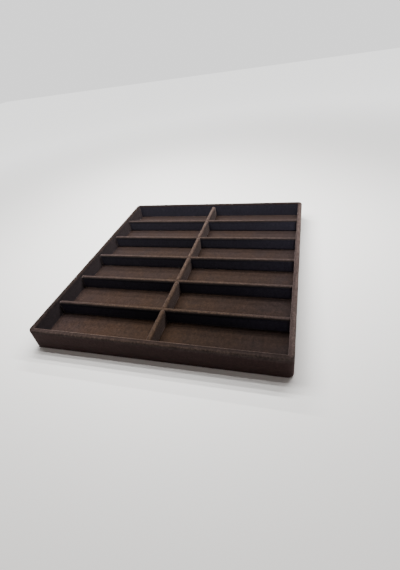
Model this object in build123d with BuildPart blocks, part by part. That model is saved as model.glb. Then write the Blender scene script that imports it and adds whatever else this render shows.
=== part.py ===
from build123d import *
import os

# Velvet glasses display tray: a shallow open box of fibreboard with one velvet wrap over its
# walls, a velvet-covered floor card, and an egg-crate of velvet-sleeved dividers that makes
# two columns of compartments, one for each pair of folded glasses.
# Millimetres. X runs left to right, Y front to back, Z up; the origin is the centre of the
# face that the tray rests on.

# Outside sizes
tray_width = 350.0
tray_depth = 388.0
tray_height = 33.0

# Sheet stock
board_thickness = 5.5
base_thickness = 5.0
divider_board_thickness = 5.5
card_thickness = 1.0
velvet_thickness = 0.9
lining_thickness = 0.6

# Rounding of the bare boards; the velvet over them is rounder by its own thickness
board_corner_radius = 6.6
board_outer_round = 1.5
board_inner_round = 1.0
board_foot_round = 0.4
divider_board_round = 1.5

# Turned-in cloth, floor and lining
hem_width = 16.0
lining_inset = 4.0
lining_corner_radius = 3.5
lining_clearance = 0.3
floor_clearance = 0.4
floor_edge_round = 0.8

# Dividers
row_count = 6
divider_drop = 4.5
divider_end_clearance = 0.3
lap_clearance = 0.15

# Brads that pin the boards together
brad_length = 20.0
brad_radius = 0.6
brad_head_radius = 0.95
brad_head_thickness = 0.5
brad_hole_clearance = 0.03
brad_set_depth = 2.6
corner_brad_margin = 7.0
base_brads_per_side = 3
base_brad_end_margin = 45.0

# Heights, from the resting face up
hem_bottom = lining_thickness
board_bottom = hem_bottom + velvet_thickness
base_top = board_bottom + base_thickness
card_top = base_top + card_thickness
floor_top = card_top + velvet_thickness
board_top = tray_height - velvet_thickness
divider_top = tray_height - divider_drop
lap_height = (floor_top + divider_top) / 2

# Plan sizes
wall_thickness = board_thickness + 2 * velvet_thickness
divider_thickness = divider_board_thickness + 2 * velvet_thickness
cavity_width = tray_width - 2 * wall_thickness
cavity_depth = tray_depth - 2 * wall_thickness
frame_width = tray_width - 2 * velvet_thickness
frame_depth = tray_depth - 2 * velvet_thickness
base_width = frame_width - 2 * board_thickness
base_depth = frame_depth - 2 * board_thickness
row_length = (cavity_depth - (row_count - 1) * divider_thickness) / row_count
row_pitch = row_length + divider_thickness
cross_divider_places = [
    -cavity_depth / 2 + (row + 1) * row_pitch - divider_thickness / 2
    for row in range(row_count - 1)
]
cross_divider_length = cavity_width - 2 * divider_end_clearance
centre_divider_length = cavity_depth - 2 * divider_end_clearance
lap_width = divider_thickness + 2 * lap_clearance


def save(piece, label):
    piece.label = label
    export_step(piece, f"parts/{label}.step")


os.makedirs("parts", exist_ok=True)

# The four wall boards as one ring with its edges sanded round; each board is cut from it, and
# it leaves its hollow in the wrap
with BuildPart() as ring:
    with BuildSketch(Plane.XY.offset(board_bottom)):
        RectangleRounded(frame_width, frame_depth, board_corner_radius)
    extrude(amount=board_top - board_bottom)
    fillet(ring.faces().sort_by(Axis.Z)[-1].edges(), board_outer_round)
    fillet(ring.faces().sort_by(Axis.Z)[0].edges(), board_foot_round)
    with BuildSketch(Plane.XY.offset(board_bottom)):
        Rectangle(base_width, base_depth)
    extrude(amount=board_top - board_bottom, mode=Mode.SUBTRACT)
    fillet(ring.faces().sort_by(Axis.Z)[-1].inner_wires()[0].edges(), board_inner_round)


# Brads


def brad_set(places, clearance=0.0):
    """Brads along the Z of each place, or their holes when a clearance is given."""
    stand = (Align.CENTER, Align.CENTER, Align.MIN)
    with BuildPart() as pins:
        with Locations(*places):
            Cylinder(brad_radius + clearance, brad_length + clearance, align=stand)
            with Locations((0, 0, -clearance)):
                Cylinder(
                    brad_head_radius + clearance,
                    brad_head_thickness + 2 * clearance,
                    align=stand,
                )
    return pins.part


def spread(length):
    """Places along one side of the base, kept clear of its ends."""
    reach = length / 2 - base_brad_end_margin
    return [reach * (2 * step / (base_brads_per_side - 1) - 1) for step in range(base_brads_per_side)]


side_board_x = (frame_width - board_thickness) / 2
end_board_y = (frame_depth - board_thickness) / 2
brad_head_x = frame_width / 2 - brad_set_depth
brad_head_y = frame_depth / 2 - brad_set_depth
base_brad_height = board_bottom + base_thickness / 2
corner_brad_heights = (base_top + corner_brad_margin, board_top - corner_brad_margin)

# Each place is a plane at the brad's head that faces the middle of the tray
corner_brad_places = []
base_brad_places = []
for side in (-1, 1):
    for end in (-1, 1):
        for height in corner_brad_heights:
            head = (side * brad_head_x, end * end_board_y, height)
            corner_brad_places.append(Plane(origin=head, z_dir=(-side, 0, 0)))
    for y in spread(base_depth):
        head = (side * brad_head_x, y, base_brad_height)
        base_brad_places.append(Plane(origin=head, z_dir=(-side, 0, 0)))
    for x in spread(base_width):
        head = (x, side * brad_head_y, base_brad_height)
        base_brad_places.append(Plane(origin=head, z_dir=(0, -side, 0)))

brad_holes = brad_set(corner_brad_places + base_brad_places, brad_hole_clearance)
save(brad_set(corner_brad_places), "corner_brads")
save(brad_set(base_brad_places), "base_brads")

# Wall boards: the side boards run the full depth and the end boards fit between them
wall_boards = {
    "left_board": ((-side_board_x, 0, 0), board_thickness, frame_depth),
    "right_board": ((side_board_x, 0, 0), board_thickness, frame_depth),
    "front_board": ((0, -end_board_y, 0), base_width, board_thickness),
    "back_board": ((0, end_board_y, 0), base_width, board_thickness),
}
for label, (centre, width, depth) in wall_boards.items():
    with BuildPart() as wall_board:
        add(ring.part)
        with Locations(centre):
            Box(width, depth, 2 * tray_height, mode=Mode.INTERSECT)
        add(brad_holes, mode=Mode.SUBTRACT)
    save(wall_board.part, label)

# Base board, level with the bottom of the walls and pinned between them
with BuildPart() as base_board:
    with BuildSketch(Plane.XY.offset(board_bottom)):
        Rectangle(base_width, base_depth)
    extrude(amount=base_thickness)
    add(brad_holes, mode=Mode.SUBTRACT)
save(base_board.part, "base_board")

# Velvet wrap: up the outside, over the rim, down the inside to the base board, and turned in
# under the boards as a hem
with BuildPart() as rim_wrap:
    with BuildSketch(Plane.XY.offset(hem_bottom)):
        RectangleRounded(tray_width, tray_depth, board_corner_radius + velvet_thickness)
    extrude(amount=tray_height - hem_bottom)
    fillet(rim_wrap.faces().sort_by(Axis.Z)[-1].edges(), board_outer_round + velvet_thickness)
    fillet(rim_wrap.faces().sort_by(Axis.Z)[0].edges(), board_foot_round + velvet_thickness)
    with BuildSketch(Plane.XY.offset(base_top)):
        Rectangle(cavity_width, cavity_depth)
    extrude(amount=tray_height - base_top, mode=Mode.SUBTRACT)
    rim_opening = rim_wrap.faces().sort_by(Axis.Z)[-1].inner_wires()[0]
    fillet(rim_opening.edges(), board_inner_round + velvet_thickness)
    with BuildSketch(Plane.XY.offset(hem_bottom)):
        Rectangle(tray_width - 2 * hem_width, tray_depth - 2 * hem_width)
    extrude(amount=velvet_thickness, mode=Mode.SUBTRACT)
    with BuildSketch(Plane.XY.offset(board_bottom)):
        Rectangle(base_width, base_depth)
    extrude(amount=base_thickness, mode=Mode.SUBTRACT)
    add(ring.part, mode=Mode.SUBTRACT)
save(rim_wrap.part, "rim_wrap")

# Felt lining under the base: thin over the hem, full between its edges
with BuildPart() as base_lining:
    with BuildSketch():
        RectangleRounded(
            tray_width - 2 * lining_inset,
            tray_depth - 2 * lining_inset,
            lining_corner_radius,
        )
    extrude(amount=lining_thickness)
    with BuildSketch(Plane.XY.offset(hem_bottom)):
        Rectangle(
            tray_width - 2 * (hem_width + lining_clearance),
            tray_depth - 2 * (hem_width + lining_clearance),
        )
    extrude(amount=velvet_thickness)
save(base_lining.part, "base_lining")

# Floor: a stiff card on the base board, in a velvet cover that goes over its edges
floor_width = cavity_width - 2 * floor_clearance
floor_depth = cavity_depth - 2 * floor_clearance

with BuildPart() as floor_card:
    with BuildSketch(Plane.XY.offset(base_top)):
        Rectangle(floor_width - 2 * velvet_thickness, floor_depth - 2 * velvet_thickness)
    extrude(amount=card_thickness)
save(floor_card.part, "floor_card")

with BuildPart() as floor_velvet:
    with BuildSketch(Plane.XY.offset(base_top)):
        Rectangle(floor_width, floor_depth)
    extrude(amount=floor_top - base_top)
    fillet(floor_velvet.faces().sort_by(Axis.Z)[-1].edges(), floor_edge_round)
    add(floor_card.part, mode=Mode.SUBTRACT)
save(floor_velvet.part, "floor_velvet")


# Dividers


def divider_bar(section_plane, length, cover):
    """A bar standing in a divider's place: the bare board, or the board with its cover."""
    bottom = floor_top + velvet_thickness - cover
    height = divider_top - velvet_thickness + cover - bottom
    along = Axis(section_plane.origin, section_plane.z_dir)
    with BuildPart() as bar:
        with BuildSketch(section_plane):
            with Locations((0, bottom + height / 2)):
                Rectangle(divider_board_thickness + 2 * cover, height)
        extrude(amount=length / 2, both=True)
        top_edges = bar.faces().sort_by(Axis.Z)[-1].edges().filter_by(along)
        fillet(top_edges, divider_board_round + cover)
    return bar.part


def save_divider(section_plane, length, slots, name, suffix=""):
    """The divider's core and its velvet sleeve, both notched by the slots."""
    board_bar = divider_bar(section_plane, length, 0)
    covered_bar = divider_bar(section_plane, length, velvet_thickness)
    with BuildPart() as core:
        add(board_bar)
        add(slots, mode=Mode.SUBTRACT)
    with BuildPart() as sleeve:
        add(covered_bar)
        add(board_bar, mode=Mode.SUBTRACT)
        add(slots, mode=Mode.SUBTRACT)
    save(core.part, f"{name}_core{suffix}")
    save(sleeve.part, f"{name}_sleeve{suffix}")


def lap_slots(places, low, high):
    """Square slots as wide as a covered divider and its clearance, one at each crossing."""
    with BuildPart() as slots:
        with BuildSketch(Plane.XY.offset(low)):
            with Locations(*[(0, place) for place in places]):
                Rectangle(lap_width, lap_width)
        extrude(amount=high - low)
    return slots.part


# The cross dividers are slotted from below, so their tops run through unbroken; the centre
# divider is slotted from above and passes under them.
for number, place in enumerate(cross_divider_places, start=1):
    cross_plane = Plane(origin=(0, place, 0), x_dir=(0, 1, 0), z_dir=(1, 0, 0))
    cross_slot = lap_slots([place], 0, lap_height + lap_clearance)
    save_divider(cross_plane, cross_divider_length, cross_slot, "cross_divider", f"_{number}")

centre_plane = Plane(origin=(0, 0, 0), x_dir=(1, 0, 0), z_dir=(0, -1, 0))
centre_slots = lap_slots(cross_divider_places, lap_height, tray_height)
save_divider(centre_plane, centre_divider_length, centre_slots, "centre_divider")
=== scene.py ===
import math
import bmesh
import bpy
from mathutils import Matrix, Vector, noise


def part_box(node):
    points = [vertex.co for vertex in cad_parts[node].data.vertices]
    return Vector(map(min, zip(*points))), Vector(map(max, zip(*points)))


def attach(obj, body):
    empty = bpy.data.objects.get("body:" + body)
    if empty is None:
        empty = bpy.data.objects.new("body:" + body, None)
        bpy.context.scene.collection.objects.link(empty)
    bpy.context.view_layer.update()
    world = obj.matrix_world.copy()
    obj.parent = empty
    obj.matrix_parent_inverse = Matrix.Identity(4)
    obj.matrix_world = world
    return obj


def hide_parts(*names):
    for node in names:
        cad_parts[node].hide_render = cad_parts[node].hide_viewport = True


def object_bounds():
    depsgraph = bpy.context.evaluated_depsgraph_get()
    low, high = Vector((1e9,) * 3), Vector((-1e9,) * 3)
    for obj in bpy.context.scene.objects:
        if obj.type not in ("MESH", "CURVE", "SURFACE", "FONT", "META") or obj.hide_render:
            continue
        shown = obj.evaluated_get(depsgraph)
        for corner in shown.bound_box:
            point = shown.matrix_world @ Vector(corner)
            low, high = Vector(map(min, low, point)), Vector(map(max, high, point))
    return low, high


# Velvet glasses display tray. The boards, the card and the brads come from the frame; the
# velvet wrap, the sleeves, the floor cloth and the felt lining are made here, in their places.

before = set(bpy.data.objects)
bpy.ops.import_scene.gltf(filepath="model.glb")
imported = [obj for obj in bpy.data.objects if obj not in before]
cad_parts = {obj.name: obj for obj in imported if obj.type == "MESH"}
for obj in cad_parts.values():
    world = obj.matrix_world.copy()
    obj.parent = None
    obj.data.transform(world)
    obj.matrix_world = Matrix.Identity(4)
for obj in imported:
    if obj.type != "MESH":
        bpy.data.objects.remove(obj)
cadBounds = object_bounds()
mm = 0.001
clothThickness = 0.9 * mm
print("frame loaded", len(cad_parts), "nodes")


# Camera: set to the photograph's view of the tray, 400 x 570, no shift

photoView = {
    "place": (0.1730, -0.4262, 0.3185),
    "turn": (52.204, 7.998, 14.681),  # degrees about X, Y, Z
    "focalPixels": 327.74,
    "imageHeight": 570.0,
    "sensor": 36.0,
    "clipStart": 0.01,
}


def makeCamera(view):
    camera = bpy.data.cameras.new("photoCamera")
    camera.sensor_width = view["sensor"]
    camera.lens = view["focalPixels"] / view["imageHeight"] * view["sensor"]
    camera.clip_start = view["clipStart"]
    cameraObject = bpy.data.objects.new("photoCamera", camera)
    cameraObject.location = view["place"]
    cameraObject.rotation_euler = [math.radians(angle) for angle in view["turn"]]
    bpy.context.collection.objects.link(cameraObject)
    bpy.context.scene.camera = cameraObject


makeCamera(photoView)
print("camera made")


# Shared ways of making a finish

def addNode(tree, kind, place, **settings):
    node = tree.nodes.new(kind)
    node.location = place
    for name, value in settings.items():
        setattr(node, name, value)
    return node


def feed(tree, socket, source):
    # A socket takes a number, a colour or another node's output
    if isinstance(source, bpy.types.NodeSocket):
        tree.links.new(source, socket)
    elif isinstance(source, tuple):
        socket.default_value = (*source, 1)
    else:
        socket.default_value = source


def mix(tree, place, factor, first, second, kind="RGBA"):
    node = addNode(tree, "ShaderNodeMix", place, data_type=kind)
    for label, source in (("Factor", factor), ("A", first), ("B", second)):
        feed(tree, node.inputs[label], source)
    return node.outputs["Result"]


def scaleRange(tree, place, value, source, target=(0.0, 1.0), **settings):
    node = addNode(tree, "ShaderNodeMapRange", place, **settings)
    node.inputs["From Min"].default_value, node.inputs["From Max"].default_value = source
    node.inputs["To Min"].default_value, node.inputs["To Max"].default_value = target
    tree.links.new(value, node.inputs["Value"])
    return node.outputs["Result"]


def calculate(tree, place, operation, *values):
    node = addNode(tree, "ShaderNodeMath", place, operation=operation)
    for socket, value in zip(node.inputs, values):
        feed(tree, socket, value)
    return node.outputs["Value"]


def addNoise(tree, place, where, scale, detail, roughness, distortion):
    texture = addNode(tree, "ShaderNodeTexNoise", place)
    tree.links.new(where, texture.inputs["Vector"])
    feed(tree, texture.inputs["Scale"], scale)
    feed(tree, texture.inputs["Detail"], detail)
    feed(tree, texture.inputs["Roughness"], roughness)
    feed(tree, texture.inputs["Distortion"], distortion)
    return texture.outputs["Fac"]


def addBump(tree, shader, height, strength, depth):
    bump = addNode(tree, "ShaderNodeBump", (-200, -400))
    bump.inputs["Strength"].default_value = strength
    bump.inputs["Distance"].default_value = depth
    tree.links.new(height, bump.inputs["Height"])
    tree.links.new(bump.outputs["Normal"], shader.inputs["Normal"])


def startMaterial(name):
    material = bpy.data.materials.new(name)
    material.use_nodes = True
    tree = material.node_tree
    where = addNode(tree, "ShaderNodeTexCoord", (-1600, 0))
    return material, tree, tree.nodes["Principled BSDF"], where.outputs["Object"]


def makeGroup(name, values, outputs):
    # A place and some numbers, each with its usual value, go in, and numbers come out
    group = bpy.data.node_groups.new(name, "ShaderNodeTree")
    group.interface.new_socket("Vector", in_out="INPUT", socket_type="NodeSocketVector")
    for label, value in values.items():
        socket = group.interface.new_socket(label, in_out="INPUT", socket_type="NodeSocketFloat")
        socket.default_value = value
    for label in outputs:
        group.interface.new_socket(label, in_out="OUTPUT", socket_type="NodeSocketFloat")
    start = addNode(group, "NodeGroupInput", (-900, 0))
    end = addNode(group, "NodeGroupOutput", (900, 0))
    return group, start, end


# Table and light: a pale plain floor under soft light

tableLook = {
    "size": 6.0,
    "drop": 0.05 * mm,  # below the tray, so that their faces never lie in one plane
    "color": (0.92, 0.92, 0.91),
    "roughness": 0.55,
    "nearGlow": (0.022, 0.012, 0.008),  # what the table gives back of the room's own light
    "farGlow": (1.70, 1.70, 1.69),
    "glowRange": (0.24, 1.4),  # how far from the tray's middle it grows from one to the other
}

# Narrow lamps in rows overhead, with more of their light left of the middle, and a soft glow
# from the front
stripLights = {
    "height": 0.50,
    "length": 0.40,
    "breadth": 0.015,
    "color": (1.0, 0.985, 0.965),
    "places": [  # x, y, watts
        (-0.20, -0.095, 1.10),
        (-0.20, -0.024, 1.38),
        (0.20, -0.024, 0.60),
        (-0.20, 0.087, 2.90),
        (0.20, 0.087, 0.40),
        (0.20, 0.171, 4.00),
        (-0.20, 0.404, 5.50),
    ],
}
surroundings = {
    "color": (1.0, 0.97, 0.955),
    "front": 0.42,
    "rest": 0.03,
    "backdrop": 1.75,  # how pale the room looks behind the table; it lights nothing
}


def makeTable(look):
    bm = bmesh.new()
    bmesh.ops.create_grid(bm, x_segments=1, y_segments=1, size=look["size"] / 2)
    bmesh.ops.translate(bm, verts=bm.verts, vec=(0, 0, -look["drop"]))
    mesh = bpy.data.meshes.new("table")
    bm.to_mesh(mesh)
    bm.free()
    table = bpy.data.objects.new("table", mesh)
    bpy.context.collection.objects.link(table)
    material, tree, shader, where = startMaterial("paleTable")
    shader.inputs["Base Color"].default_value = (*look["color"], 1)
    shader.inputs["Roughness"].default_value = look["roughness"]
    distance = addNode(tree, "ShaderNodeVectorMath", (-1300, 0), operation="LENGTH")
    tree.links.new(where, distance.inputs[0])
    share = scaleRange(
        tree, (-1050, 0), distance.outputs["Value"], look["glowRange"],
        interpolation_type="SMOOTHSTEP",
    )
    glow = mix(tree, (-800, 0), share, look["nearGlow"], look["farGlow"])
    tree.links.new(glow, shader.inputs["Emission Color"])
    shader.inputs["Emission Strength"].default_value = 1.0
    mesh.materials.append(material)


def makeStrips(look):
    for number, (x, y, power) in enumerate(look["places"], start=1):
        lamp = bpy.data.lights.new(f"strip{number}", "AREA")
        lamp.shape = "RECTANGLE"
        lamp.size, lamp.size_y = look["length"], look["breadth"]
        lamp.energy = power
        lamp.color = look["color"]
        lampObject = bpy.data.objects.new(f"strip{number}", lamp)
        lampObject.location = (x, y, look["height"])
        bpy.context.collection.objects.link(lampObject)


def makeSurroundings(look):
    world = bpy.data.worlds.new("studio")
    world.use_nodes = True
    tree = world.node_tree
    background = tree.nodes["Background"]
    background.inputs["Color"].default_value = (*look["color"], 1)
    way = addNode(tree, "ShaderNodeTexCoord", (-900, 0))
    parts = addNode(tree, "ShaderNodeSeparateXYZ", (-700, 0))
    tree.links.new(way.outputs["Generated"], parts.inputs["Vector"])
    strength = scaleRange(
        tree, (-500, 0), parts.outputs["Y"], (0.0, -1.0), (look["rest"], look["front"])
    )
    tree.links.new(strength, background.inputs["Strength"])
    backdrop = addNode(tree, "ShaderNodeBackground", (-200, -200))
    backdrop.inputs["Strength"].default_value = look["backdrop"]
    rays = addNode(tree, "ShaderNodeLightPath", (-200, 300))
    seen = addNode(tree, "ShaderNodeMixShader", (100, 0))
    tree.links.new(rays.outputs["Is Camera Ray"], seen.inputs["Fac"])
    tree.links.new(background.outputs["Background"], seen.inputs[1])
    tree.links.new(backdrop.outputs["Background"], seen.inputs[2])
    tree.links.new(seen.outputs["Shader"], tree.nodes["World Output"].inputs["Surface"])
    bpy.context.scene.world = world


makeTable(tableLook)
makeStrips(stripLights)
makeSurroundings(surroundings)
print("table and lights made")


# Velvet

napLook = {
    "patch": (26.0, 3.0, 0.55, 0.6),  # scale, detail, roughness and distortion of each noise
    "mottle": (400.0, 3.0, 0.6, 0.3),
    "streak": (150.0, 2.0, 0.5, 0.2),
    "pile": (1500.0, 2.0, 0.7, 0.0),
    "streakTurn": -9.0,  # degrees about Z
    "streakStretch": (1.7, 0.8, 0.9),
    "driftRange": (0.36, 0.64),
    "streakShare": 0.35,  # of the tone; the rest of it is mottle
    "toneRange": (0.3, 0.7),
    "toneHeight": 0.6,  # how much the tone raises the pile
}


def makeNapGroup(look):
    # The lay of the pile in broad patches, its mottle and combed streaks, and the tufts
    kinds = ("patch", "mottle", "streak", "pile")
    group, start, end = makeGroup(
        "velvetNap",
        {f"{kind.capitalize()} Scale": look[kind][0] for kind in kinds},
        ("Drift", "Tone", "Pile", "Height"),
    )
    turn = addNode(group, "ShaderNodeMapping", (-760, 0))
    turn.inputs["Rotation"].default_value = (0.0, 0.0, math.radians(look["streakTurn"]))
    turn.inputs["Scale"].default_value = look["streakStretch"]
    group.links.new(start.outputs["Vector"], turn.inputs["Vector"])
    noises = {}
    for row, kind in enumerate(kinds):
        where = (turn if kind == "streak" else start).outputs["Vector"]
        scale = start.outputs[f"{kind.capitalize()} Scale"]
        noises[kind] = addNoise(group, (-560, 500 - 250 * row), where, scale, *look[kind][1:])

    drift = scaleRange(
        group, (-300, 500), noises["patch"], look["driftRange"], interpolation_type="SMOOTHSTEP"
    )
    blend = mix(
        group, (-300, 200), look["streakShare"], noises["mottle"], noises["streak"], "FLOAT"
    )
    tone = scaleRange(group, (-50, 200), blend, look["toneRange"])
    height = calculate(
        group, (200, -200), "MULTIPLY_ADD", tone, look["toneHeight"], noises["pile"]
    )
    results = {"Drift": drift, "Tone": tone, "Pile": noises["pile"], "Height": height}
    for label, result in results.items():
        group.links.new(result, end.inputs[label])
    return group


napGroup = makeNapGroup(napLook)

velvetLook = {
    "coolPile": (0.0171, 0.0105, 0.0092),  # brushed away from the light
    "warmPile": (0.0197, 0.0113, 0.0085),  # brushed towards it
    "innerPile": (0.0248, 0.0174, 0.0168),  # inner walls: copy painted lighter, greyer for their light
    "shadyPile": (0.0246, 0.0228, 0.0312),  # painted cool sheen in shade, where a wall faces the front
    "outerPile": (0.0214, 0.0102, 0.0088),  # outside: copy painted darker, redder for its light
    "band": (0.0337, 0.0221, 0.0190),  # over the top of a wall: nap wear and painted sheen
    "bandRange": (0.06, 0.50),  # the painted crest over which it comes in
    "line": (0.0840, 0.0585, 0.0470),  # edge of a rim, with wear from rubbing and a painted highlight
    "lineRange": (0.50, 1.0),
    "coolTint": (0.98, 1.01, 1.10),  # what the painted warmth does to any of these, at 0
    "warmTint": (1.05, 0.95, 0.69),  # and at 1
    "mottle": 0.50,
    "wallCalm": 0.50,  # how much quieter the mottle is on the walls
    "shadingRange": (2.80, 0.40),  # painted light and shade: brightness at a painted shading of -1 and of 1
    "raggedness": 0.30,
    "pileGrain": 0.25,
    "pileRange": (0.3, 0.7),
    "pileDepth": 0.30 * mm,
    "bump": 0.6,
    "roughness": 0.92,
    "specular": 0.12,
    "sheen": 0.22,
    "sheenRoughness": 0.42,
    "sheenTint": (0.63, 0.49, 0.47),
}

paintedValues = ("inner", "shady", "outer", "crest", "paintedShading", "warm")


def makeVelvet(name, look):
    # Each piece carries painted values: inner, shady and outer on its walls, crest over its
    # edges (1 where an edge has the most wear and painted highlight), the painted shading, from
    # -1, painted light, to 1, painted shade, and warm, 1 where the brown is warmest
    material, tree, shader, where = startMaterial(name)
    shader.inputs["Roughness"].default_value = look["roughness"]
    shader.inputs["Specular IOR Level"].default_value = look["specular"]
    shader.inputs["Sheen Weight"].default_value = look["sheen"]
    shader.inputs["Sheen Roughness"].default_value = look["sheenRoughness"]
    shader.inputs["Sheen Tint"].default_value = (*look["sheenTint"], 1)

    nap = addNode(tree, "ShaderNodeGroup", (-1350, 0), node_tree=napGroup)
    tree.links.new(where, nap.inputs["Vector"])
    tone = nap.outputs["Tone"]
    painted = {}
    for row, label in enumerate(paintedValues):
        place = (-1350, -250 - 200 * row)
        attribute = addNode(tree, "ShaderNodeAttribute", place, attribute_name=label)
        painted[label] = attribute.outputs["Fac"]

    flat = mix(tree, (-1050, 300), nap.outputs["Drift"], look["coolPile"], look["warmPile"])
    inside = mix(tree, (-950, 250), painted["inner"], flat, look["innerPile"])
    shady = mix(tree, (-880, 200), painted["shady"], inside, look["shadyPile"])
    standing = mix(tree, (-800, 150), painted["outer"], shady, look["outerPile"])

    swing = scaleRange(tree, (-1200, -420), tone, (0, 1), (-0.5, 0.5))
    crest = calculate(
        tree, (-1050, -350), "MULTIPLY_ADD", swing, look["raggedness"], painted["crest"]
    )
    # The crest brings in the band and the line: nap wear and painted highlight
    overTop = scaleRange(tree, (-850, -250), crest, look["bandRange"])
    rubbedHighlight = scaleRange(tree, (-850, -450), crest, look["lineRange"])
    banded = mix(tree, (-600, 200), overTop, standing, look["band"])
    wornAndHighlit = mix(tree, (-400, 150), rubbedHighlight, banded, look["line"])

    mottleRange = (1 - look["mottle"], 1 + look["mottle"])
    mottle = scaleRange(tree, (-600, -100), tone, (0, 1), mottleRange)
    onWall = calculate(tree, (-1050, -700), "ADD", painted["inner"], painted["outer"])
    calm = scaleRange(tree, (-850, -700), onWall, (0, 1), (0, look["wallCalm"]))
    calmed = mix(tree, (-450, -100), calm, mottle, 1.0, "FLOAT")
    grainRange = (1 - look["pileGrain"], 1 + look["pileGrain"])
    grain = scaleRange(tree, (-600, -300), nap.outputs["Pile"], look["pileRange"], grainRange)
    # Painted light and shade: the painted shading makes the colour brighter or darker
    paintedShading = scaleRange(tree, (-600, -500), painted["paintedShading"], (-1, 1), look["shadingRange"])
    uneven = calculate(tree, (-400, -250), "MULTIPLY", calmed, grain)
    shade = calculate(tree, (-250, -150), "MULTIPLY", uneven, paintedShading)

    tint = mix(tree, (-400, 350), painted["warm"], look["coolTint"], look["warmTint"])
    tinted = addNode(tree, "ShaderNodeVectorMath", (-300, 200), operation="MULTIPLY")
    tree.links.new(wornAndHighlit, tinted.inputs[0])
    tree.links.new(tint, tinted.inputs[1])
    shaded = addNode(tree, "ShaderNodeVectorMath", (-200, 100), operation="SCALE")
    tree.links.new(tinted.outputs["Vector"], shaded.inputs[0])
    tree.links.new(shade, shaded.inputs["Scale"])
    tree.links.new(shaded.outputs["Vector"], shader.inputs["Base Color"])
    addBump(tree, shader, nap.outputs["Height"], look["bump"], look["pileDepth"])
    return material


brownVelvet = makeVelvet("brownVelvet", velvetLook)
print("velvet made")


# Boards, the card and brads: the frame's own solids, under the cloth

fibreLook = {  # what board, card and felt have in common
    "scale": 400.0,
    "tangle": 1.0,
    "detail": 6.0,
    "roughness": 0.75,
    "fleckRange": (0.10, 0.28),
    "specular": 0.15,
    "bump": 0.5,
}

boardLook = {
    "dark": (0.165, 0.098, 0.052),
    "light": (0.395, 0.275, 0.168),
    "fibreScale": 900.0,
    "tangle": 0.8,
    "roughness": 0.80,
    "depth": 0.05 * mm,
}

cardLook = {
    "dark": (0.150, 0.145, 0.135),
    "light": (0.330, 0.320, 0.295),
    "fibreScale": 1300.0,
    "tangle": 1.2,
    "roughness": 0.86,
    "depth": 0.02 * mm,
}

wireLook = {
    "color": (0.60, 0.59, 0.57),
    "roughness": (0.24, 0.42),
    "marks": (2200.0, 4.0, 0.6, 0.0),  # the fine marks that drawing leaves round the wire
    "markRange": (0.3, 0.7),
    "bump": 0.3,
    "depth": 0.01 * mm,
}


def makeFibreGroup(look):
    # Pressed or felted fibres: pale strands over a darker ground, and sparse dark flecks
    group, start, end = makeGroup(
        "pressedFibre", {"Scale": look["scale"], "Tangle": look["tangle"]}, ("Strands", "Flecks")
    )
    where, scale, tangle = (start.outputs[label] for label in ("Vector", "Scale", "Tangle"))
    strands = addNoise(
        group, (-500, 200), where, scale, look["detail"], look["roughness"], tangle
    )
    cells = addNode(group, "ShaderNodeTexVoronoi", (-500, -150))
    group.links.new(where, cells.inputs["Vector"])
    group.links.new(scale, cells.inputs["Scale"])
    flecks = scaleRange(
        group, (-200, -150), cells.outputs["Distance"], look["fleckRange"], (1.0, 0.0)
    )
    group.links.new(strands, end.inputs["Strands"])
    group.links.new(flecks, end.inputs["Flecks"])
    return group


fibreGroup = makeFibreGroup(fibreLook)


def makeFibrous(name, look):
    material, tree, shader, where = startMaterial(name)
    shader.inputs["Roughness"].default_value = look["roughness"]
    shader.inputs["Specular IOR Level"].default_value = fibreLook["specular"]
    fibre = addNode(tree, "ShaderNodeGroup", (-800, 0), node_tree=fibreGroup)
    fibre.inputs["Scale"].default_value = look["fibreScale"]
    fibre.inputs["Tangle"].default_value = look["tangle"]
    tree.links.new(where, fibre.inputs["Vector"])
    strands, flecks = fibre.outputs["Strands"], fibre.outputs["Flecks"]
    ground = mix(tree, (-500, 150), strands, look["dark"], look["light"])
    flecked = mix(tree, (-300, 100), flecks, ground, look["dark"])
    tree.links.new(flecked, shader.inputs["Base Color"])
    addBump(tree, shader, strands, fibreLook["bump"], look["depth"])
    return material


def makeWire(name, look):
    material, tree, shader, where = startMaterial(name)
    shader.inputs["Base Color"].default_value = (*look["color"], 1)
    shader.inputs["Metallic"].default_value = 1.0
    marks = addNoise(tree, (-650, 0), where, *look["marks"])
    roughness = scaleRange(tree, (-350, 100), marks, look["markRange"], look["roughness"])
    tree.links.new(roughness, shader.inputs["Roughness"])
    addBump(tree, shader, marks, look["bump"], look["depth"])
    return material


def dressFrame():
    finishes = {
        "brads": makeWire("steelWire", wireLook),
        "card": makeFibrous("greyCard", cardLook),
        "board": makeFibrous("rawBoard", boardLook),
    }
    for name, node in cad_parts.items():
        if name.endswith("_brads"):
            finish = finishes["brads"]
        elif name == "floor_card":
            finish = finishes["card"]
        elif name.endswith("_board") or "_core" in name:
            finish = finishes["board"]
        else:  # velvet and felt, which get their own pieces below
            continue
        for slot in node.material_slots:
            slot.material = finish


dressFrame()
print("boards, card and brads dressed")


# Shared ways of making a cloth piece

clothCut = {
    "roundSegments": 6,
    "longEdge": 3 * mm,  # a section's edges longer than this are cut into shorter ones
    "noiseShift": (3.1, 1.7, 0.9),  # what one more seed moves the unevenness by
    "leftShade": 0.32,  # how shady the left wall is, beside a wall that faces the front
    "warmthBackwards": (1.1, 0.2),  # at the front of the tray, and at its back
}


def addPaint(bm):
    return {label: bm.verts.layers.float.new(label) for label in paintedValues}


def clamp(value):
    return min(1.0, max(0.0, value))


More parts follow.
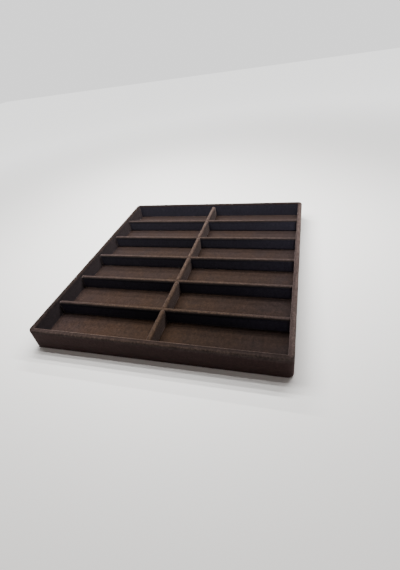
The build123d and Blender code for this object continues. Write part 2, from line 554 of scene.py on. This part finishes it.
def makeSection(bm, points, rounds, cuts):
    # An open section from a few corners; rounds gives each inner corner its radius
    paint = addPaint(bm)
    corners = [bm.verts.new(point) for point in points]
    for first, second in zip(corners, corners[1:]):
        bm.edges.new((first, second))
    for corner, radius in zip(corners[1:-1], rounds):
        bmesh.ops.bevel(
            bm, geom=[corner], offset=radius, offset_type="OFFSET", affect="VERTICES",
            segments=clothCut["roundSegments"], profile=0.5, material=-1,
        )
    longEdges = [edge for edge in bm.edges if edge.calc_length() > clothCut["longEdge"]]
    bmesh.ops.subdivide_edges(bm, edges=longEdges, cuts=cuts)
    return paint


def between(stations, share):
    # The value part of the way along two or more evenly spaced ones
    place = clamp(share) * (len(stations) - 1)
    first = min(int(place), len(stations) - 2)
    return stations[first] + (stations[first + 1] - stations[first]) * (place - first)


def pull(bm, edges, step, count):
    # Draw the section along a straight run in even steps
    for _ in range(count):
        grown = bmesh.ops.extrude_edge_only(bm, edges=edges)["geom"]
        moved = [item for item in grown if isinstance(item, bmesh.types.BMVert)]
        bmesh.ops.translate(bm, verts=moved, vec=step)
        edges = [item for item in grown if isinstance(item, bmesh.types.BMEdge)]
    return edges


def turnCorner(bm, edges, centre, angle, steps):
    last = bmesh.ops.spin(
        bm, geom=edges, cent=centre, axis=(0, 0, 1), angle=angle, steps=steps
    )["geom_last"]
    return [item for item in last if isinstance(item, bmesh.types.BMEdge)]


def ruffle(bm, size, depth, seed):
    # The cloth's slight unevenness, out of and into its surface
    shift = Vector([seed * part for part in clothCut["noiseShift"]])
    bm.normal_update()
    moves = [
        vert.normal * depth * noise.noise(vert.co / size + shift) for vert in bm.verts
    ]
    for vert, move in zip(bm.verts, moves):
        vert.co += move


def placeInTray(point, low, high):
    # How far a point is from left to right and from front to back, each from 0 to 1
    return (point.x - low.x) / (high.x - low.x), (point.y - low.y) / (high.y - low.y)


def paintPlace(bm, paint, warmShare):
    # Shady, painted shade and cool reflection: inner walls that face the front, and a little
    # the left wall. Warm: most halfway between the left and right walls, and more at the front
    # than at the back
    low, high = (Vector(corner) for corner in cadBounds)
    bm.normal_update()
    for vert in bm.verts:
        right, back = placeInTray(vert.co, low, high)
        middle = math.sin(math.pi * clamp(right))
        facingRight = clothCut["leftShade"] * (1.0 - middle) * max(0.0, vert.normal.x)
        facing = max(0.0, -vert.normal.y) + facingRight
        vert[paint["shady"]] = min(1.0, facing) * vert[paint["inner"]]
        warm = middle * between(clothCut["warmthBackwards"], back) * warmShare
        vert[paint["warm"]] = warm * (1.0 - max(vert[paint["shady"]], vert[paint["outer"]]))


def makePiece(name, bm, material, thickness=None):
    mesh = bpy.data.meshes.new(name)
    bm.to_mesh(mesh)
    bm.free()
    mesh.shade_smooth()
    mesh.materials.append(material)
    piece = bpy.data.objects.new(name, mesh)
    bpy.context.collection.objects.link(piece)
    if thickness:
        shell = piece.modifiers.new("clothThickness", "SOLIDIFY")
        shell.thickness = thickness
        shell.offset = -1.0
        shell.use_quality_normals = True
    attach(piece, "root")
    return piece


def faceOutwards(bm, outside):
    # Turn the sheet so that the face nearest the given point looks away from the boards
    bmesh.ops.recalc_face_normals(bm, faces=bm.faces)
    nearest = min(bm.faces, key=lambda face: (face.calc_center_median() - outside).length)
    if nearest.normal.dot(outside - nearest.calc_center_median()) < 0:
        bmesh.ops.reverse_faces(bm, faces=bm.faces)


# Rim wrap: velvet from under the foot, up the outside, over the rim and down the inside

rimWrap = {
    "cornerRadius": 7.5 * mm,
    "wall": 7.3 * mm,
    "underReach": 6.4 * mm,
    "footRound": 1.3 * mm,
    "outerRound": 2.4 * mm,
    "innerRound": 1.9 * mm,
    "innerBottom": 6.5 * mm,
    "wallCuts": 8,
    "step": 4.0 * mm,
    "cornerSteps": 10,
    "weld": 0.01 * mm,
    "ruffleSize": 26 * mm,
    "ruffleDepth": 0.14 * mm,
    "seed": 1,
    # Each side from its left or front end to the other: crest (wear and painted highlight) at
    # the inner edge, in the middle and at the outer edge, then the painted shading over the top
    "crestAndShading": {
        "front": ((1.0, 0.36, 0.70, 0.60), (1.0, 0.04, 0.90, 0.68), (0.92, 0.0, 1.0, 0.80)),
        "right": ((0.30, 0.57, 0.77, 0.50), (0.42, 0.66, 0.80, 0.50)),
        "back": ((0.0, 0.0, 0.05, 0.90), (0.0, 0.0, 0.05, 0.90)),
        "left": ((0.08, 0.08, 0.10, 0.75), (0.08, 0.08, 0.10, 0.75)),
    },
    # Painted light and shade on the rim's outer walls, along each side
    "outerShading": {
        "front": (0.46, 0.60, 0.48),
        "right": (0.20, 0.20),
        "back": (0.46, 0.46),
        "left": (0.46, 0.46),
    },
    # Painted light and shade on the rim's inner walls, along each side
    "innerShading": {
        "front": (0.50, 0.50),
        "right": (0.50, 0.50),
        "back": (0.52, 0.47, 0.24),
        "left": (0.66, 0.66),
    },
    "shadingFade": 3,  # how much sooner the rim's painted shading gives way to the walls' than its crest does
    "cornerBlend": (2 * mm, 3),  # how the sides share out a corner: softness and sharpness
    "innerTop": 1.4,  # how far down the inside the crest reaches, in inner rounds
    "wallTop": 4.6 * mm,  # how far down the outside
    "frontTop": (4.4 * mm, 6.8 * mm, 7.4 * mm),  # the same along the front, from left to right
    "frontRoundHighlight": (0.40, 0.56, 0.74),  # painted highlight below the front's outer edge
    "lineShading": (0.32, 0.34, 0.84),  # painted shading along the pale inner edge of the front
    "lineRange": (2 / 3, 5 / 6),  # where it starts and is full, from the outer edge inwards
    "wallStart": 0.8 * mm,  # how far below the top the walls' pile sets in
    "wallBlend": 2.2 * mm,
    "warmShare": 0.4,
}


def sideShares(place, low, high, blend):
    # How much each side of the tray has to say at a point, sharing out the corners
    reach = {
        "left": place.x - low.x,
        "right": high.x - place.x,
        "back": high.y - place.y,
        "front": place.y - low.y,
    }
    softness, sharpness = blend
    shares = {
        side: 1.0 / (max(distance, 0.0) + softness) ** sharpness
        for side, distance in reach.items()
    }
    total = sum(shares.values())
    return {side: share / total for side, share in shares.items()}


def paintRimCrestAndShading(bm, paint, cut, low, high):
    # Paints the rim's crest, nap wear and painted highlight, and its painted light and shade
    # The crest comes in as the way from the outer wall, 0, to the inner one, 1
    lineStart, lineFull = cut["lineRange"]
    for vert in bm.verts:
        along, away = placeInTray(vert.co, low, high)
        inward = vert[paint["crest"]]
        drop = high.z - vert.co.z
        shares = sideShares(vert.co, low, high, cut["cornerBlend"])
        reach = cut["innerTop"] * cut["innerRound"]
        if inward <= 0.5:
            reach = between((cut["wallTop"], between(cut["frontTop"], along)), shares["front"])
        fade = max(0.0, 1.0 - (drop / reach) ** 2)
        pale = dark = walls = 0.0
        wallShading = cut["innerShading"] if inward > 0.5 else cut["outerShading"]
        for side, share in shares.items():
            where = along if side in ("front", "back") else away
            inner, middle, outer, paintedShading = (
                between(stations, where) for stations in zip(*cut["crestAndShading"][side])
            )
            if side == "front":  # thin pale inner line, and painted highlight below the outer edge
                roundHighlight = between(cut["frontRoundHighlight"], where)
                outer = between((outer, roundHighlight), drop / cut["outerRound"])
                line = (inward - lineStart) / (lineFull - lineStart)
                inner = between((middle, inner), line)
                paintedShading = between((paintedShading, between(cut["lineShading"], where)), line)
            pale += share * between((outer, middle, inner), inward)
            dark += share * paintedShading
            walls += share * between(wallShading[side], where)
        vert[paint["crest"]] = pale * fade
        vert[paint["paintedShading"]] = between((walls, dark), fade ** cut["shadingFade"])


def makeRimWrap(cut):
    low, high = (Vector(corner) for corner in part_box("rim_wrap"))
    bm = bmesh.new()
    startX = low.x + cut["cornerRadius"]
    foot, top = low.z, high.z
    points = [
        (startX, low.y + cut["underReach"], foot),
        (startX, low.y, foot),
        (startX, low.y, top),
        (startX, low.y + cut["wall"], top),
        (startX, low.y + cut["wall"], cut["innerBottom"]),
    ]
    rounds = (cut["footRound"], cut["outerRound"], cut["innerRound"])
    paint = makeSection(bm, points, rounds, cut["wallCuts"])
    for vert in bm.verts:
        inward = (vert.co.y - low.y) / cut["wall"]
        standing = clamp((top - vert.co.z - cut["wallStart"]) / cut["wallBlend"])
        vert[paint["crest"]] = clamp(inward)
        vert[paint["inner"]] = standing if inward > 0.5 else 0.0
        vert[paint["outer"]] = standing if inward <= 0.5 else 0.0
    edges = list(bm.edges)
    radius = cut["cornerRadius"]
    width, depth = high.x - low.x, high.y - low.y
    runs = [  # length, way, and the middle of the corner at its end
        (width - 2 * radius, (1, 0, 0), (high.x - radius, low.y + radius, 0)),
        (depth - 2 * radius, (0, 1, 0), (high.x - radius, high.y - radius, 0)),
        (width - 2 * radius, (-1, 0, 0), (low.x + radius, high.y - radius, 0)),
        (depth - 2 * radius, (0, -1, 0), (low.x + radius, low.y + radius, 0)),
    ]
    for length, way, centre in runs:
        count = round(length / cut["step"])
        edges = pull(bm, edges, Vector(way) * (length / count), count)
        edges = turnCorner(bm, edges, centre, math.pi / 2, cut["cornerSteps"])
    bmesh.ops.remove_doubles(bm, verts=bm.verts, dist=cut["weld"])
    paintRimCrestAndShading(bm, paint, cut, low, high)
    faceOutwards(bm, Vector((0, 2 * low.y, (foot + top) / 2)))
    paintPlace(bm, paint, cut["warmShare"])
    ruffle(bm, cut["ruffleSize"], cut["ruffleDepth"], cut["seed"])
    piece = makePiece("rimVelvet", bm, brownVelvet, clothThickness)
    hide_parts("rim_wrap")


makeRimWrap(rimWrap)
print("rim wrap made")


# Floor velvet: one cloth over the floor card, its edges turned down beside the walls

floorCloth = {
    "edgeRound": 0.8 * mm,
    "edgeSegments": 3,
    "step": 5.0 * mm,
    "ruffleSize": 34 * mm,
    "ruffleDepth": 0.25 * mm,
    "seed": 2,
    "frontShading": (0.06, 0.02, 0.36, 0.70, 0.72),  # painted shade along the front, from left to right
    "backShading": 0.57,
    "shadingReach": 0.45,  # share of the depth, from the front, over which the painted shade evens out
    "warmShare": 1.0,
}


def makeFloorCloth(cut):
    low, high = (Vector(corner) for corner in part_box("floor_velvet"))
    width, depth = high.x - low.x, high.y - low.y
    bm = bmesh.new()
    paint = addPaint(bm)
    across, along = round(width / cut["step"]), round(depth / cut["step"])
    bmesh.ops.create_grid(bm, x_segments=across, y_segments=along, size=0.5)
    bmesh.ops.transform(
        bm, verts=bm.verts,
        matrix=Matrix.Translation((0, 0, high.z)) @ Matrix.Diagonal((width, depth, 1, 1)),
    )
    ruffle(bm, cut["ruffleSize"], cut["ruffleDepth"], cut["seed"])
    for vert in bm.verts:
        vert.co.z = min(vert.co.z, high.z)
        right, back = placeInTray(vert.co, low, high)
        # Painted shade: the floor darker towards the front right, evening out towards the back
        evened = min(1.0, back / cut["shadingReach"])
        vert[paint["paintedShading"]] = between((between(cut["frontShading"], right), cut["backShading"]), evened)
    border = [edge for edge in bm.edges if edge.is_boundary]
    skirt = bmesh.ops.extrude_edge_only(bm, edges=border)["geom"]
    for vert in [item for item in skirt if isinstance(item, bmesh.types.BMVert)]:
        vert.co.z = low.z
    bmesh.ops.bevel(
        bm, geom=border, offset=cut["edgeRound"], offset_type="OFFSET", affect="EDGES",
        segments=cut["edgeSegments"], profile=0.5, material=-1,
    )
    faceOutwards(bm, Vector((0, 0, 1)))
    paintPlace(bm, paint, cut["warmShare"])
    piece = makePiece("floorVelvet", bm, brownVelvet, clothThickness)
    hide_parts("floor_velvet")


makeFloorCloth(floorCloth)
print("floor cloth made")


# Divider sleeves: a velvet cover folded over each divider board. The cross sleeves run from
# wall to wall; the centre sleeve shows between them

sleeve = {
    "topRound": 2.9 * mm,
    "wallCuts": 5,
    "step": 4.0 * mm,
    "fewestSteps": 2,
    "tuck": 2.1 * mm,  # how far a centre length presses into the cross sleeve beside it
    "sink": 0.5 * mm,  # how far a sleeve's foot presses into the floor cloth
    "ruffleSize": 24 * mm,
    "ruffleDepth": 0.12 * mm,
    "seeds": {"cross": 10, "centre": 30},  # the first cross sleeve's is one more
    # Crest over the sleeves' tops: nap wear and painted highlight, paler towards the back
    "crest": {"cross": (0.50, 0.55), "centre": (0.55, 0.88)},  # at the front, at the back
    # How much of it each side of the top has: a cross one's front and back, the centre's
    # right and left
    "crestTilt": {"cross": (1.0, 0.8), "centre": (0.55, 1.0)},
    "crestReach": 1.2 * mm,
    "wallStart": 0.6 * mm,  # how far below the top the walls' pile sets in
    "wallBlend": 2.2 * mm,
    "foldShade": {"cross": 0.75, "centre": 0.0},  # painted shade just below that first side
    "foldReach": 4.6 * mm,
    "foldBlend": (0.4 * mm, 2 * mm),  # how soon it sets in, and how softly it ends
    # Painted light and shade, brighter below 0.5 and darker above: over the tops, then on the
    # walls
    "topShading": 0.5,
    "crossShading": (  # painted shading on the walls of a cross sleeve, from left to right
        (-0.29, 0.42, 0.92, 0.50, -0.75),  # at the front of the tray
        (0.17, 0.38, 0.50, 0.08, -0.90),
        (0.37, 0.33, 0.23, -0.04, -0.58),  # at the back
    ),
    "centreShading": (0.44, 0.42, 0.90),  # painted shading on the walls of the centre sleeve, front to back
    "warmShare": 1.0,
}


def paintSleeve(vert, paint, cut, kind, top, half):
    # Across the section: the crest over its top, painted shade just below it, the walls' pile
    drop = top - vert.co.z
    tilt = between(cut["crestTilt"][kind], (vert.co.y / half + 1) / 2)
    vert[paint["crest"]] = max(0.0, 1.0 - drop / cut["crestReach"]) * tilt
    vert[paint["inner"]] = clamp((drop - cut["wallStart"]) / cut["wallBlend"])
    start, end = cut["foldBlend"]
    # Painted shade just below the top, on the front side only
    shadeBelowCrest = min(1.0, drop / start, max(0.0, cut["foldReach"] - drop) / end)
    vert[paint["paintedShading"]] = shadeBelowCrest * cut["foldShade"][kind] if vert.co.y < 0 else 0.0


def makeSleeveLength(bm, cut, box, kind, start, end):
    # One length of covered divider from start to end, closed at both ends
    low, high = box
    alongY = kind == "centre"
    length = bmesh.new()
    half = (high.x - low.x) / 2 if alongY else (high.y - low.y) / 2
    foot = low.z - cut["sink"]
    points = [(0, -half, foot), (0, -half, high.z), (0, half, high.z), (0, half, foot)]
    paint = makeSection(length, points, (cut["topRound"],) * 2, cut["wallCuts"])
    for vert in length.verts:
        paintSleeve(vert, paint, cut, kind, high.z, half)
    count = max(cut["fewestSteps"], round((end - start) / cut["step"]))
    first = list(length.edges)
    last = pull(length, first, Vector(((end - start) / count, 0, 0)), count)
    for rim in (first, last):
        verts = {vert for edge in rim for vert in edge.verts}
        closing = length.edges.new(sorted(verts, key=lambda vert: vert.co.z)[:2])
        bmesh.ops.edgeloop_fill(length, edges=list(rim) + [closing])
    bmesh.ops.recalc_face_normals(length, faces=length.faces)
    if alongY:
        turn = Matrix.Rotation(math.pi / 2, 4, "Z")
        place = Vector(((low.x + high.x) / 2, start, 0))
    else:
        turn = Matrix()
        place = Vector((start, (low.y + high.y) / 2, 0))
    bmesh.ops.transform(length, matrix=Matrix.Translation(place) @ turn, verts=length.verts)
    scratch = bpy.data.meshes.new("sleeveLength")
    length.to_mesh(scratch)
    length.free()
    bm.from_mesh(scratch)
    bpy.data.meshes.remove(scratch)


def makeSleeve(name, node, cut, kind, lengths, seed):
    box = [Vector(corner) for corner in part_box(node)]
    bm = bmesh.new()
    paint = addPaint(bm)
    for start, end in lengths:
        makeSleeveLength(bm, cut, box, kind, start, end)
    low, high = (Vector(corner) for corner in cadBounds)
    for vert in bm.verts:
        right, back = placeInTray(vert.co, low, high)
        vert[paint["crest"]] *= between(cut["crest"][kind], back)
        # Painted light and shade on the walls and over the tops
        walls = cut["centreShading"]
        if kind == "cross":
            walls = [between(row, right) for row in cut["crossShading"]]
        paintedShading = between((cut["topShading"], between(walls, back)), vert[paint["inner"]])
        vert[paint["paintedShading"]] += paintedShading
    paintPlace(bm, paint, cut["warmShare"])
    ruffle(bm, cut["ruffleSize"], cut["ruffleDepth"], seed)
    piece = makePiece(name, bm, brownVelvet, clothThickness)
    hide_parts(node)


crossNodes = sorted(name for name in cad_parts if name.startswith("cross_divider_sleeve"))
low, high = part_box("centre_divider_sleeve")
stops = [low[1]]
for number, node in enumerate(crossNodes, start=1):
    crossLow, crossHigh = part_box(node)
    lengths = [(crossLow[0], crossHigh[0])]
    seed = sleeve["seeds"]["cross"] + number
    makeSleeve(f"crossSleeve{number}", node, sleeve, "cross", lengths, seed)
    stops += [crossLow[1] + sleeve["tuck"], crossHigh[1] - sleeve["tuck"]]
stops.append(high[1])
lengths = list(zip(stops[::2], stops[1::2]))
seed = sleeve["seeds"]["centre"]
makeSleeve("centreSleeve", "centre_divider_sleeve", sleeve, "centre", lengths, seed)
print("sleeves made")


# Felt lining under the base

lining = {
    "cornerRadius": 3.5 * mm,
    "cornerSegments": 6,
    "thickness": 0.6 * mm,
}

feltLook = {
    "dark": (0.012, 0.009, 0.008),
    "light": (0.066, 0.050, 0.042),
    "fibreScale": 260.0,
    "tangle": 1.8,
    "roughness": 0.97,
    "depth": 0.20 * mm,
}


def makeLining(cut, look):
    low, high = (Vector(corner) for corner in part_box("base_lining"))
    width, depth = high.x - low.x, high.y - low.y
    bm = bmesh.new()
    bmesh.ops.create_grid(bm, x_segments=1, y_segments=1, size=0.5)
    bmesh.ops.transform(
        bm, verts=bm.verts,
        matrix=Matrix.Translation((0, 0, low.z)) @ Matrix.Diagonal((width, depth, 1, 1)),
    )
    bmesh.ops.bevel(
        bm, geom=list(bm.verts), offset=cut["cornerRadius"], offset_type="OFFSET",
        affect="VERTICES", segments=cut["cornerSegments"], profile=0.5, material=-1,
    )
    raised = bmesh.ops.extrude_face_region(bm, geom=list(bm.faces))["geom"]
    bmesh.ops.translate(
        bm, verts=[item for item in raised if isinstance(item, bmesh.types.BMVert)],
        vec=(0, 0, cut["thickness"]),
    )
    bmesh.ops.recalc_face_normals(bm, faces=bm.faces)
    piece = makePiece("underLining", bm, makeFibrous("underFelt", look))
    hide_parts("base_lining")


makeLining(lining, feltLook)
print("lining made")
